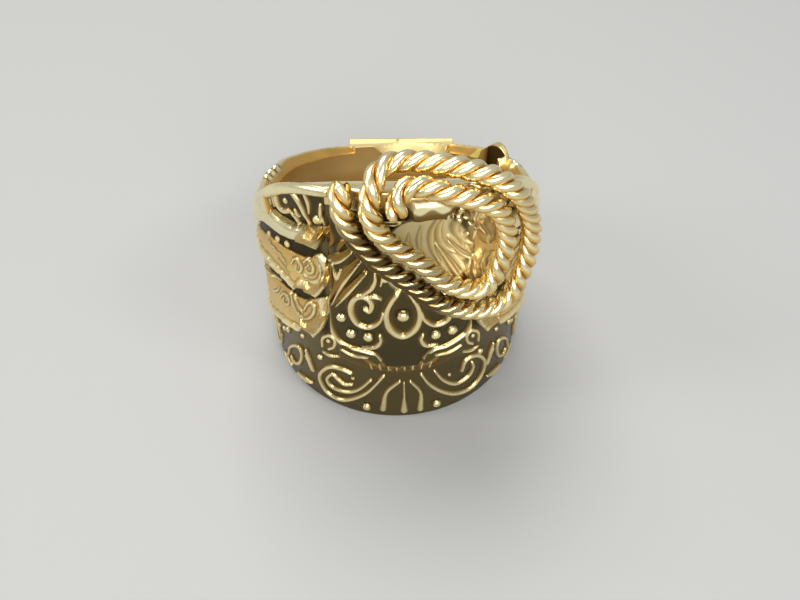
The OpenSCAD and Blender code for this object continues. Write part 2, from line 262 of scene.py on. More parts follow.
# Broad leaves grooved along the middle, on both sides.
# Columns: half width at the start, middle and end, height, points.
LEAVES = [
    (0.10, 0.50, 0.12, 0.34, [(-27.2, 15.4), (-23.5, 17.6), (-19.2, 19.5), (-13.5, 21.4)]),
    (0.08, 0.34, 0.10, 0.30, [(-24.8, 15.4), (-19.0, 17.5), (-12.8, 19.8)]),
    (0.10, 0.46, 0.12, 0.34, [(-26.4, 20.2), (-21.0, 20.9), (-16.5, 22.1)]),
    (0.08, 0.34, 0.08, 0.28, [(-25.6, 21.2), (-23.6, 22.4), (-24.2, 23.6)]),
    (0.08, 0.30, 0.08, 0.28, [(-21.8, 21.4), (-20.0, 22.3), (-17.8, 22.7)]),
    (0.08, 0.40, 0.10, 0.30, [(-27.6, 16.3), (-26.5, 18.2), (-25.2, 20.0)]),
    (0.06, 0.34, 0.06, 0.16, [(-10.2, 7.8), (-7.0, 8.2), (-3.6, 7.75)]),
    (0.06, 0.28, 0.06, 0.16, [(-4.0, 7.8), (-1.6, 8.2), (1.4, 7.65)]),
    (0.06, 0.26, 0.06, 0.18, [(-16.0, 9.0), (-12.6, 8.2), (-9.4, 7.95)]),
]
SEAT_STROKES = [
    (0, 0.16, 0.26, 0.14, 0.30, [(26.5, 22.6), (23.7, 21.6), (19.6, 22.3), (18.0, 23.5), (19.5, 24.9),
                                 (23.0, 25.2), (25.4, 24.4), (24.6, 23.5), (22.4, 23.6)]),
    (0, 0.12, 0.24, 0.12, 0.26, [(14.2, 25.2), (12.8, 23.6), (13.6, 21.9), (16.9, 20.8), (21.7, 20.3)]),
    (0, 0.10, 0.22, 0.12, 0.24, [(11.8, 24.4), (10.6, 22.6), (11.6, 20.8), (14.0, 19.6)]),
    (0, 0.16, 0.30, 0.16, 0.30, [(20.2, 18.6), (23.4, 19.4), (26.6, 20.3)]),
    (0, 0.12, 0.26, 0.12, 0.26, [(22.0, 22.6), (20.8, 22.0), (21.4, 21.2)]),
    (0, 0.06, 0.18, 0.06, 0.10, [(6.6, 23.6), (6.2, 21.8), (7.4, 19.9)]),
    (0, 0.06, 0.20, 0.06, 0.10, [(2.4, 23.0), (2.2, 21.2), (3.4, 19.2)]),
    (0, 0.10, 0.20, 0.10, 0.24, [(30.0, 24.0), (32.8, 23.6), (34.2, 22.4), (33.2, 21.2), (30.8, 20.9),
                                 (29.2, 22.0), (30.0, 23.4)]),
    (0, 0.08, 0.16, 0.08, 0.22, [(28.0, 25.4), (31.0, 25.2), (34.0, 24.4)]),
]
FLAP_STROKES = [
    (1, 0.16, 0.36, 0.24, 0.42, [(-46.5, 25.0), (-48.4, 23.9), (-48.4, 22.9), (-45.8, 22.5), (-42.4, 22.9)]),
    (1, 0.14, 0.24, 0.10, 0.40, [(-44.8, 25.3), (-40.4, 25.0), (-37.0, 24.3), (-34.6, 23.2), (-33.4, 22.5)]),
    (1, 0.08, 0.26, 0.08, 0.34, [(-41.2, 22.9), (-39.4, 22.4), (-37.6, 21.9)]),
    (1, 0.08, 0.22, 0.08, 0.32, [(-39.4, 23.4), (-38.2, 22.9), (-37.4, 22.9)]),
    (1, 0.20, 0.42, 0.20, 0.34, [(-37.2, 26.0), (-34.0, 25.9), (-30.6, 26.2)]),
    (1, 0.12, 0.20, 0.08, 0.34, [(-34.2, 25.4), (-33.0, 24.6), (-32.8, 23.7)]),
    (1, 0.12, 0.22, 0.08, 0.34, [(-28.0, 24.9), (-28.2, 23.9), (-27.2, 23.0)]),
    (1, 0.08, 0.14, 0.08, 0.30, [(-50.9, 24.4), (-51.1, 23.4), (-50.4, 22.3)]),
    (1, 0.08, 0.14, 0.08, 0.30, [(-52.9, 23.7), (-53.1, 23.0), (-52.6, 22.2)]),
    (1, 0.10, 0.17, 0.09, 0.24, [(-44.2, 17.3), (-43.0, 17.9), (-40.8, 18.1), (-39.0, 17.7), (-39.6, 17.1),
                                 (-41.6, 17.0), (-41.8, 17.5)]),
    (1, 0.10, 0.17, 0.09, 0.24, [(-38.0, 18.2), (-36.0, 18.7), (-33.9, 18.5), (-33.6, 17.8), (-35.6, 17.4),
                                 (-36.9, 17.8), (-35.6, 18.2)]),
    (1, 0.10, 0.16, 0.08, 0.22, [(-31.5, 19.4), (-29.6, 18.6), (-30.8, 17.4), (-34.0, 16.8), (-38.0, 16.7)]),
    (1, 0.08, 0.16, 0.08, 0.20, [(-60.0, 17.3), (-55.5, 17.2), (-50.5, 17.2), (-47.5, 16.7)]),
    (1, 0.08, 0.14, 0.08, 0.18, [(-52.5, 16.6), (-49.5, 16.4), (-46.5, 15.9)]),
    (1, 0.10, 0.18, 0.10, 0.26, [(-48.6, 13.2), (-47.6, 12.2), (-45.2, 11.5), (-41.8, 11.0)]),
    (1, 0.08, 0.15, 0.08, 0.26, [(-46.4, 13.2), (-44.4, 12.5), (-41.6, 11.9)]),
    (1, 0.12, 0.20, 0.12, 0.30, [(-42.6, 11.4), (-39.4, 11.5), (-36.2, 12.4), (-35.2, 13.4), (-37.0, 13.7),
                                 (-39.2, 13.1), (-40.6, 12.3)]),
    (1, 0.10, 0.17, 0.09, 0.22, [(-56.8, 11.1), (-53.6, 12.2), (-50.4, 12.3), (-50.4, 11.5), (-53.4, 11.1),
                                 (-53.8, 11.6)]),
    (1, 0.08, 0.15, 0.08, 0.20, [(-64.0, 10.6), (-59.6, 11.4), (-56.5, 12.4)]),
    (1, 0.10, 0.13, 0.08, 0.30, [(-76.0, 12.0), (-69.0, 12.9), (-62.2, 13.6), (-57.2, 13.9)]),
    (1, 0.10, 0.13, 0.08, 0.30, [(-76.0, 11.2), (-67.5, 12.2), (-60.5, 12.9), (-55.8, 13.3)]),
]
# Columns: azimuth, height, radius, 1 if mirrored too
BEADS = [
    (-15.5, 1.15, 0.42, 0), (15.8, 1.2, 0.42, 0), (-21, 5.1, 0.20, 1), (-36.5, 6.35, 0.32, 1),
    (-22.6, 13.9, 0.44, 1), (-19.2, 12.15, 0.44, 1), (-12.6, 12.1, 0.44, 1), (0.3, 14.9, 0.52, 0),
    (-5.2, 19.1, 0.42, 0), (-60.1, 17.95, 0.26, 1), (-53.2, 18.45, 0.30, 1), (-46.9, 18.85, 0.32, 1),
    (-43.6, 23.7, 0.26, 1), (-29.7, 23.3, 0.42, 1), (-67.5, 5.0, 0.26, 1), (-61.2, 5.9, 0.28, 1),
    (-57.0, 6.6, 0.34, 1), (-45.8, 7.8, 0.26, 1), (-31.2, 9.3, 0.24, 1), (-36.6, 17.1, 0.22, 1),
    (21.2, 24.3, 0.26, 0), (-73.0, 17.0, 0.28, 1), (-84.0, 15.6, 0.28, 1), (-78.4, 4.2, 0.24, 1),
    (-90.5, 5.0, 0.28, 1), (-4.6, 7.55, 0.12, 1), (32.0, 22.2, 0.22, 0),
]
# Azimuths of the short rays under the middle of the panel's lower edge
RAYS = [-12.4, -8.8, -5.4, -2.1, 1.1, 4.4, 8.0, 11.6]
# Ridged ends of the flaps and rims, on both sides. Columns as for the leaves.
FACETS = [
    (0.35, 0.95, 0.25, 0.50, [(36.8, 21.25), (31.6, 21.75), (25.6, 22.75)]),
    (0.30, 0.75, 0.25, 0.40, [(41.5, 15.5), (34.2, 16.1), (27.0, 18.1)]),
    (0.30, 0.80, 0.25, 0.40, [(42.5, 10.8), (36.6, 11.0), (30.2, 13.4)]),
]


class Field:
    """A patch of the outside of the wall, unrolled, and what is raised on it at each vertex, with painted
    highlights on the crests and painted shade beside the strokes.
    """

    def __init__(self, az, z):
        self.x, self.z = np.radians(az) * UNROLL_R, z
        self.relief, self.mark, self.groove, self.leaf = (np.zeros_like(az) for _ in range(4))

    def window(self, x0, x1, z0, z1):
        return np.nonzero((self.x > x0) & (self.x < x1) & (self.z > z0) & (self.z < z1))

    def lift(self, layer, spot, value):
        layer[spot] = np.maximum(layer[spot], value)

    def stroke(self, points, widths, height, kind="line"):
        """Raise a rounded line, a grooved leaf or a ridged facet along the points. A line gets a painted
        highlight along its crest and painted shade on the ground beside it.
        """
        line = spline([(np.radians(a) * UNROLL_R, z) for a, z in points])
        width = np.interp(np.linspace(0, 1, len(line)), [0, 0.45, 1], widths)
        pad = max(widths) * 2
        spot = self.window(line[:, 0].min() - pad, line[:, 0].max() + pad,
                           line[:, 1].min() - pad, line[:, 1].max() + pad)
        if not len(spot[0]):
            return
        x, z = self.x[spot], self.z[spot]
        near = np.full(x.shape, 9.0)
        for (ax, az), (bx, bz), wa, wb in zip(line[:-1], line[1:], width[:-1], width[1:]):
            dx, dz = bx - ax, bz - az
            t = np.clip(((x - ax) * dx + (z - az) * dz) / (dx * dx + dz * dz + 1e-12), 0, 1)
            away = np.hypot(x - ax - t * dx, z - az - t * dz) / (wa + (wb - wa) * t)
            near = np.minimum(near, away)
        shape = np.clip(1 - near, 0, 1) if kind == "facet" else np.clip(1 - near * near, 0, 1) ** 0.8
        if kind == "leaf":
            shape = shape * (1 - 0.4 * line_at(near, 0.22))
        self.lift(self.relief, spot, height * shape)
        if kind == "line":
            # Painted highlight along a line's crest, and painted shade on the ground beside it
            self.lift(self.mark, spot, smooth(shape, 0.25, 0.95))
            self.lift(self.groove, spot, 1 - smooth(near, 0.9, 1.9))
        else:
            self.lift(self.leaf, spot, smooth(shape, 0.05, 0.9))

    def both_sides(self, points, widths, height, kind="line"):
        self.stroke(points, widths, height, kind)
        self.stroke([(-a, z) for a, z in points], widths, height, kind)

    def strokes(self, rows, wider, higher=1.0):
        for mirrored, w0, w1, w2, height, points in rows:
            draw = self.both_sides if mirrored else self.stroke
            draw(points, (w0 * wider, w1 * wider, w2 * wider), height * higher)

    def bead(self, a, z, radius):
        """Raise a bead in a shallow ring, with a painted highlight on its top."""
        middle = np.radians(a) * UNROLL_R
        wide = radius * 1.5
        spot = self.window(middle - wide, middle + wide, z - wide, z + wide)
        if not len(spot[0]):
            return
        away = np.hypot(self.x[spot] - middle, self.z[spot] - z) / radius
        ring = -0.07 * np.clip(1 - np.abs(away - 1.18) / 0.3, 0, 1)
        here = self.relief[spot]
        self.relief[spot] = np.where(away < 1, np.maximum(here, dome(away) * radius * 0.8),
                                     np.where(here < 0.02, here + ring, here))
        # Painted highlight on the bead's top
        self.lift(self.mark, spot, smooth(1 - away, 0.0, 0.25))

    def beads(self, rows):
        for a, z, radius, mirrored in rows:
            self.bead(a, z, radius)
            if mirrored:
                self.bead(-a, z, radius)


# The outside of the wall, shaped step by step
# Flaps of the shoulders. Columns: azimuth, lower edge, upper edge.

FLAP_1 = [(24.8, 23.2, 23.4), (26.5, 22.2, 24.9), (28.6, 21.2, 26.0), (30.6, 20.5, 30),
          (33.8, 20.9, 30), (36.4, 20.8, 30), (40.6, 20.3, 30), (47.2, 19.9, 30), (54, 19.7, 30),
          (60, 19.3, 30), (68, 18.1, 30), (79.7, 16.3, 30), (95.6, 14.4, 30), (112, 13.0, 30)]
FLAP_2 = [(26.2, 17.7, 18.1), (28.0, 16.9, 19.4), (30.2, 16.0, 19.8), (32.6, 15.2, 19.5), (34.6, 15.5, 18.9),
          (37.0, 15.9, 18.6), (40.2, 15.6, 18.5), (43.4, 14.6, 18.4), (46.0, 14.8, 18.3), (52.8, 15.1, 18.0),
          (60, 15.0, 17.8), (68, 14.2, 16.9), (79.7, 13.8, 15.6), (95.6, 13.1, 14.3), (112, 12.4, 13.6)]
FLAP_3 = [(28.4, 13.6, 14.9), (29.6, 12.5, 15.1), (32.0, 11.2, 14.7), (35.8, 9.8, 14.1), (38.6, 10.1, 13.6),
          (41.4, 10.2, 13.3), (44.0, 9.2, 13.1), (51.3, 8.6, 13.1), (59.6, 8.0, 12.9), (68, 6.8, 12.6),
          (79.7, 5.5, 11.3), (95.6, 4.2, 9.7), (112, 3.1, 8.6)]
# Width of the top flap's rim. Columns: azimuth, width.
RIM_WIDTHS = [(24.8, 0.4), (30, 1.6), (34, 1.35), (60, 2.15), (80, 1.7), (112, 1.2)]
# Width of the rim along the top edge. Columns: azimuth, width.
TOP_RIM_WIDTHS = [(22, 0.9), (28, 1.05), (60, 1.25), (112, 1.1)]
# Where the skirt fades into the band. Columns: height, y.
SKIRT_ENDS = [(-1, 2.6), (3.5, 4.6), (8, 5.6), (12.5, 5.0), (30, 3.2)]


class Skin:
    """The outside of the wall at each vertex: its radius, colour and roughness."""

    def __init__(self, az, z, top):
        self.az, self.z, self.top = az, z, top
        self.a = np.abs(az)
        self.field = Field(az, z)
        self.r = np.full(az.shape, SKIRT_R)
        # The dark ground is a painted reflection
        self.tint = np.broadcast_to(mix(DARK, GOLD, 0.12), az.shape + (3,))
        self.rough = np.full(az.shape, 0.22)
        # The flaps stand out more towards the front
        self.stand = 0.5 * np.cos(np.radians(self.a)) - 0.38
        self.flap_part = 1 - smooth(self.a, *FLAP_END)

    def blend(self, colour, amount):
        self.tint = mix(self.tint, colour, amount)

    def paint(self, colour, where):
        self.tint = np.where(where[..., None], colour, self.tint)

    def lift(self, radius, where):
        self.r = np.where(where, np.maximum(self.r, radius), self.r)


def plain_band(s):
    """The skirt fades into the plain band behind the shoulders."""
    y = -FIRST_R * np.cos(np.radians(s.az))
    edge_y = look_up(SKIRT_ENDS, s.z)
    behind = smooth(y, edge_y - 0.35, edge_y + 0.25)
    s.r = s.r + (BAND_R - SKIRT_R) * behind
    s.blend(mix(GOLD, PALE, 0.4), behind * 0.8)


def front_panel(s):
    """The panel steps out over the skirt in a low lip and then in full, with painted shade along the lip's
    step.
    """
    a, z = s.a, s.z
    lip_z = 7.05 + 0.75 * (a / 24.0) ** 2
    ends = 1 - smooth(a, 25.5, 27.5)
    s.r = s.r + LIP_STEP * between(z, lip_z - 0.10, lip_z + 0.16, 25, 26) * ends
    # Painted shade along the lip's step
    s.blend(mix(DARK, AMBER, 0.30), line_at(z - lip_z - 0.15, 0.35) * ends)
    low = 8.2 + 1.7 * smooth(a, 5.5, 10.5) + 0.6 * smooth(a, 15, 23)
    half = 24.6 + 3.0 * between(z, 10.4, 12.0, 15.2, 18.0)
    inside = between(z, low - 0.16, low + 0.20, PANEL_TOP - 0.2, PANEL_TOP + 0.2)
    inside = inside * (1 - smooth(a, half - 0.9, half + 0.5))
    s.r = np.maximum(s.r, SKIRT_R + (PANEL_R - SKIRT_R) * inside)
    # The panel's dark ground is a painted reflection
    s.blend(mix(DARK, GOLD, 0.05), inside)


def flap_edges(table, a):
    return look_up(table, a), look_up(table, a, 2)


def top_flap(s):
    """The top flap: a dark recess over a broad pale rim with a crease, and the dark gaps below it. The
    recess's darkness is a painted reflection, the rim's paleness a painted highlight and the gaps' darkness
    painted shade.
    """
    a, z = s.a, s.z
    low, high = flap_edges(FLAP_1, a)
    crown = between(z, low - 0.05, low + 0.12, high - 0.1, high + 0.1) * s.flap_part * (a > FLAP_1[0][0])
    u = np.clip((z - low) / look_up(RIM_WIDTHS, a), 0, 1)
    bulge = rim_section(u, 0.05, 0.93)
    rim = RIM_R + (0.72 + s.stand) * bulge - 0.05 * line_at(u - 0.52, 0.05)
    s.on_rim = crown * (u < 1) * (a > 27.5) > 0.5
    s.r = np.where(crown > 0.5, RECESS_R + 0.10 * smooth(z, low + 2.0, low + 2.6), s.r)
    s.r = np.where(s.on_rim, rim, s.r)
    # Painted reflection darkens the recess, and a painted highlight runs along the rim's swell with painted
    # shade at its edges
    s.paint(mix(DARK, GOLD, 0.03), crown > 0.5)
    s.paint(mix(mix(DARK, GOLD, 0.35), PALE, smooth(bulge, 0.35, 0.8)), s.on_rim)
    # Painted shade in the gaps between the flaps
    gap = between(a, 29, 31, 100, 104) * smooth(z, 9.0, 11.0) * (1 - crown)
    s.blend(GAP_SHADE, gap)
    s.rough = s.rough + 0.2 * gap


def lower_flaps(s):
    """The other two flaps: uneven faces that lean out to a pale rim below, with a pale edge round the tip.
    The faces get painted shade towards their tops, the rim and edge painted highlights and the crease painted
    shade.
    """
    a, z, x = s.a, s.z, s.field.x
    for table in (FLAP_2, FLAP_3):
        tip = table[0][0]
        low, high = flap_edges(table, a)
        on = between(z, low - 0.05, low + 0.08, high - 0.08, high + 0.08) * s.flap_part * (a > tip) > 0.5
        lean = np.clip((high - z) / np.maximum(high - low, 0.3), 0, 1)
        face = FLAP_R + (0.42 + s.stand) * lean ** 0.9
        face = face + 0.045 * np.sin(x * 4.3 + z * 1.9) * np.sin(z * 5.1 - x * 3.1)
        face = face + 0.02 * np.sin(x * 9.7 - z * 6.0) * np.sin(z * 8.3 + x * 2.7)
        edge = line_at(z - low - 0.30, 0.30)
        crease = line_at(z - low - 0.82, 0.12) * (a > 40)
        tip_edge = line_at(a - tip - 2.6 - 0.9 * np.abs(z - low - 2.2), 1.3) * (a < 36)
        face = face + 0.24 * np.maximum(edge, 0.8 * tip_edge) - 0.06 * crease
        s.r = np.where(on, np.maximum(face, RAISED_R), s.r)
        # Painted shade towards the top of each face, painted highlights on the rim and tip edge, painted
        # shade in the crease
        tone = mix(AMBER, mix(GOLD, PALE, 0.25), 0.35 + 0.65 * lean)
        tone = mix(tone, PALE, np.maximum(edge, tip_edge) * 0.9)
        s.paint(mix(tone, mix(DARK, AMBER, 0.5), crease * 0.7), on)
        s.rough = np.where(on, 0.26, s.rough)


def top_rim(s):
    """The polished rim along the top edge, with a painted highlight along its swell."""
    a = s.a
    v = np.clip((s.top - s.z) / look_up(TOP_RIM_WIDTHS, a), 0, 1)
    s.on_top_rim = (v < 1) & (a > 20) & (a < 104)
    swell = rim_section(v, 0.12, 0.86)
    fade = between(a, 20, 25, 98, 104)
    stand = 0.9 * np.cos(np.radians(a)) - 0.03
    s.lift(RAISED_R + fade * stand * swell, s.on_top_rim)
    # Painted highlight along the rim's swell
    s.paint(mix(s.tint, PALE, smooth(swell, 0.2, 0.6) * fade), s.on_top_rim)


def recess_post(s):
    """An upright rim closes the top flap's recess, with a painted highlight on its crown and painted shade on
    its flanks.
    """
    low, _ = flap_edges(FLAP_1, s.a)
    post_az = 55.0 + 1.2 * np.sin(np.clip((s.z - 21) / 4, 0, 1) * np.pi)
    off = (s.a - post_az) / POST_HALF
    on_post = (np.abs(off) < 1) & (s.z > low + 1.6) & (s.z < s.top - 0.8)
    s.lift(RAISED_R + 0.62 * dome(off), on_post)
    # Painted highlight on the post's crown, painted shade on its flanks
    s.paint(mix(AMBER, PALE, smooth(1 - off * off, 0.2, 0.7)), on_post)


def seat(s):
    """The hollow seat, part of a ball, painted pale as a painted reflection, and the gold ground to the right
    of it.
    """
    az, z = s.az, s.z
    up = np.radians(az - SEAT_AZ)
    inner = SEAT_BALL_R ** 2 - (z - SEAT_H) ** 2 - (SEAT_BALL_OUT * np.sin(up)) ** 2
    hollow = np.where(inner > 0, SEAT_BALL_OUT * np.cos(up) - np.sqrt(np.clip(inner, 0, None)), 99)
    depth = np.clip(s.r - hollow, 0, None) * (np.abs(z - SEAT_H) < 6)
    s.r = s.r - depth
    s.seat_part = smooth(depth, 0.03, 0.25) * smooth(z, 17.2, 18.4) * smooth(az, -9.5, -5.5)
    # Painted reflection: the seat is painted pale
    s.blend(mix(GOLD, PALE, 0.95), s.seat_part)
    s.rough = s.rough + 0.36 * s.seat_part
    s.beside_seat = between(az, 21, 25, 38, 42) * between(z, 16.0, 17.5, 24.6, 25.4)
    s.blend(mix(GOLD, PALE, 0.25), s.beside_seat)
    s.rough = s.rough + 0.25 * s.beside_seat


def cantle(s):
    """The cantle over the seat, with a lumpy roll along its front that is pale on top and dark below:
    a painted highlight on top, painted shade below, and a painted shadow under the roll.
    """
    az, z = s.az, s.z
    in_cantle = (z > CANTLE_FOOT) & (s.a < CANTLE_HALF)
    s.lift(CANTLE_R, in_cantle)
    s.paint(mix(GOLD, PALE, 0.5), in_cantle)
    reach = np.sqrt(smooth(az, 1.2, 5.2)) * (1 - smooth(az, 12, 20))
    lump = 1 + 0.10 * np.sin(s.field.x * 2.1 + 0.6)
    roll_z = 25.72 - 0.35 * smooth(az, 9, 18)
    roll_r = 0.98 - 0.35 * smooth(az, 10, 20)
    on_roll = (np.abs(z - roll_z) < roll_r) & (reach > 0.05)
    s.lift(ROLL_R + 0.84 * dome((z - roll_z) / roll_r) * reach * lump, on_roll)
    # Painted shadow under the roll
    s.blend(DARK, between(z, 24.3, 24.8, 25.4, 25.8) * between(az, -1, 2, 15, 20) * 0.9)
    wave = 0.2 * np.sin(az * 0.9)
    # Painted highlight on the roll's top and painted shade below it
    on_top = on_roll * smooth(z, roll_z - 0.02 + wave, roll_z + 0.22 + wave)
    s.blend(PALE, on_top)
    s.blend(mix(DARK, AMBER, 0.3), on_roll * (1 - on_top) * 0.85)
    s.rough = s.rough + 0.12 * on_top


def lean_in(s):
    """The wall leans in towards its top edge at the sides."""
    s.r = s.r - 0.4 * between(s.a, 62, 88, 112, 124) * (1 - np.clip((s.top - s.z) / 2.4, 0, 1))


def ornament(s):
    """What is raised on it all, with painted shade on the ground beside the strokes and painted highlights
    along their crests.
    """
    f, a = s.field, s.a
    f.strokes(SKIRT_STROKES, 1.25)
    f.strokes(PANEL_STROKES, 1.3)
    f.strokes(SEAT_STROKES, 1.15)
    f.strokes(FLAP_STROKES, 1.15, 0.6)
    for w0, w1, w2, height, points in LEAVES:
        f.both_sides(points, (w0, w1, w2), height, "leaf")
    f.beads(BEADS)
    for ray in RAYS:
        f.stroke([(ray * 0.96, 7.45), (ray * 1.02, 8.25)], (0.05, 0.13, 0.06), 0.16)
    for w0, w1, w2, height, points in FACETS:
        f.both_sides(points, (w0, w1, w2), height, "facet")
    off_rims = 1 - ((s.on_top_rim & (a > 24)) | (s.on_rim & (a > 38)))
    raised = f.relief * off_rims * (1 - smooth(s.r, 12.42, 12.5) * 0.5)
    s.r = np.minimum(s.r + raised, MOST_R)
    # Painted shade beside the strokes, weaker in the seat
    s.blend(mix(DARK, AMBER, 0.22), f.groove * off_rims * (1 - 0.35 * s.seat_part) * 0.75)
    on_face = smooth(a, 28, 30)
    leaf_tint = mix(mix(DARK, AMBER, 0.5), mix(GOLD, PALE, 0.3), on_face)
    s.blend(leaf_tint, f.leaf * (0.8 + 0.2 * on_face))
    # Strokes pale along their crests and dark on their flanks: painted highlight and painted shade
    warm = mix(mix(DARK, AMBER, 0.55), mix(GOLD, PALE, 0.72), f.mark)
    warm = mix(warm, mix(GOLD, PALE, 0.6), np.clip(s.seat_part + s.beside_seat, 0, 1) * 0.7)
    s.blend(warm, smooth(raised, 0.03, 0.12) * (0.55 + 0.45 * f.mark))
    s.rough = s.rough + 0.05 * off_rims


STEPS = (plain_band, front_panel, top_flap, lower_flaps, top_rim, recess_post, seat, cantle, lean_in,
         ornament)


def outside(az, z, top):
    """Radius, colour and roughness of the wall's outside at each vertex."""
    skin = Skin(az, z, top)
    for step in STEPS:
        step(skin)
    return skin.r, skin.tint, skin.rough


def plate_radius(az, z):
    """The flat plate at the back, as a radius. It is 0 beside the plate."""
    rad = np.radians(az)
    from_x, from_y = from_plate(0, 0)
    go_x, go_y = turned(np.sin(rad), -np.cos(rad))
    flat = (PLATE_Y - from_y) / np.maximum(go_y, 0.3)
    sideways = np.where(np.abs(go_x) < 0.05, 0.05 * np.sign(go_x) + 1e-9, go_x)
    side = (np.sign(go_x) * PLATE_HALF - from_x) / sideways
    r = np.minimum(flat, np.abs(side))
    return np.where((go_y > 0.5) & (from_y + r * go_y > PLATE_Y - PLATE_END) & (z > BACK_LIFT - 0.1), r, 0)


# The whole wall as closed columns. A column array has one row for each azimuth.

# Azimuths of details. The strip of painted reflection on the inside and the ribbed knot on the left rim
# have four: where they start, are full, are still full and end.
REFLECTION_STRIP_AZ = (126.6, 127.0, 133.6, 134.2)
KNOT_AZ = (-113, -111, -96.5, -95)
RIB_AZ = -104
RIB_EVERY = 5
KNOB_AZ = 106
NICK_AZ = 176.5
SEAM_AZ = -129.5
# Parts of the way over the top and along the foot at which there are vertices
LIP_STEPS = np.array([0.05, 0.13, 0.2, 0.26, 0.32, 0.38, 0.46, 0.55, 0.65, 0.74, 0.83, 0.9, 0.96, 1.0])
FOOT_STEPS = np.array([0.05, 0.3, 0.6, 0.9])


class Columns:
    """The azimuths of one piece's columns, and what its four faces share."""

    def __init__(self, azimuths):
        self.az = np.asarray(azimuths, float)[:, None]
        self.a = np.abs(self.az)
        self.sx, self.sy = np.sin(np.radians(self.az)), -np.cos(np.radians(self.az))
        self.x_pocket = np.radians(self.az - POCKET_AZ) * POCKET_AT_R
        self.pocket_part = (np.abs(self.x_pocket) < POCKET_HALF).astype(float)
        self.strip = between(self.az, *REFLECTION_STRIP_AZ)

    def top(self, radius):
        return top_of(radius * self.sx, radius * self.sy)

    def foot(self, radius):
        return foot_of(radius * self.sy)

    def point(self, radius, height):
        return np.stack([radius * self.sx, radius * self.sy, height], -1)


def outer_face(c, rows):
    """Up the outside, with both its edges rounded."""
    def heights(r_top, r_foot):
        top, foot = c.top(r_top), c.foot(r_foot)
        middle = foot + ROUND + (top - foot - 2 * ROUND) * np.linspace(0, 1, rows)[None, :]
        return np.hstack([foot + ROUND_ROWS, middle, top - ROUND_ROWS[::-1]]), top

    # The first pass finds how far out the edges are, and so how high
    z, top = heights(FIRST_R, FIRST_R)
    az = np.repeat(c.az, z.shape[1], 1)
    r, _, _ = outside(az, z, top)
    r = np.maximum(r, plate_radius(az, z))
    z, top = heights(r[:, -1:], r[:, :1])
    r, tint, rough = outside(az, z, top)
    plate = plate_radius(az, z)
    tint = np.where((plate > 0)[..., None], mix(GOLD, PALE, 0.5) * 0.9, tint)
    rough = np.where(plate > 0, 0.42, rough)
    r = np.maximum(r, plate)
    for edge in (top, z[:, :1]):
        r = r - ROUND * (1 - dome(np.clip(1 - np.abs(z - edge) / ROUND, 0, 1)))
    c.outer_top, c.outer_foot, c.at_plate = r[:, -1:], r[:, :1], plate[:, -1:] > 0
    return c.point(r, z), tint, rough


def top_face(c):
    """Over the top and down into the scoop, with a bevel behind, a ribbed knot and a knob on the rims.
    The bevel is painted in shade, the knot and knob get painted highlights with painted shade between the
    ribs, and the strip a painted reflection.
    """
    across = LIP_STEPS[None, :]
    r = c.outer_top * (1 - across) + (BORE_R + POCKET_DEEP * c.pocket_part) * across
    x, y = r * c.sx, r * c.sy
    top, scoop = top_of(x, y), scoop_of(x, y)
    near_pocket = np.abs(c.x_pocket) < POCKET_RIM
    rear = smooth(c.a, 52, 66) * (1 - c.at_plate) * (1 - smooth(POCKET_RIM - np.abs(c.x_pocket), 0, 0.4))
    bevel = smooth(c.outer_top - r, 0.28, 0.42) * rear
    knot = between(c.az, *KNOT_AZ) * (1 - smooth(across, 0.45, 0.7))
    rib = 0.5 + 0.5 * np.cos(2 * np.pi * (c.az - RIB_AZ) / RIB_EVERY)
    knob = line_at(c.az - KNOB_AZ, 2.4) * (1 - smooth(across, 0.5, 0.8))
    z = np.minimum(top, np.where(y > 5, scoop, 99)) - 0.06 * smooth(across, 0.9, 1.0)
    z = z - 0.7 * bevel * across + 0.24 * knot * rib + 0.30 * knob
    scooped = c.at_plate | ((scoop < top) & (y > 5))
    # Painted shade on the bevel
    tint = mix(mix(PALE, GOLD, 0.15), mix(AMBER, GOLD, 0.2), bevel)
    # Painted highlight on the knot and knob, painted shade between the ribs, painted reflection on the strip
    tint = mix(tint, PALE, np.maximum(knot, knob))
    tint = mix(tint, mix(DARK, AMBER, 0.4), knot * (1 - rib) ** 2)
    tint = mix(tint, YELLOW, c.strip * bevel)
    tint = np.where(near_pocket[..., None], mix(GOLD, PALE, 0.3), tint)
    tint = np.where(scooped[..., None], mix(GOLD, PALE, 0.5) * 0.9, tint)
    nick = line_at(c.az - NICK_AZ, 0.55) * (1 - smooth(across, 0.05, 0.5)) * (r > 10.6)
    tint = mix(tint, DARK, nick * 0.8)
    c.inner_top = z[:, -1:]
    return c.point(r, z), tint, np.where(scooped, 0.5, 0.24 + 0.08 * bevel)


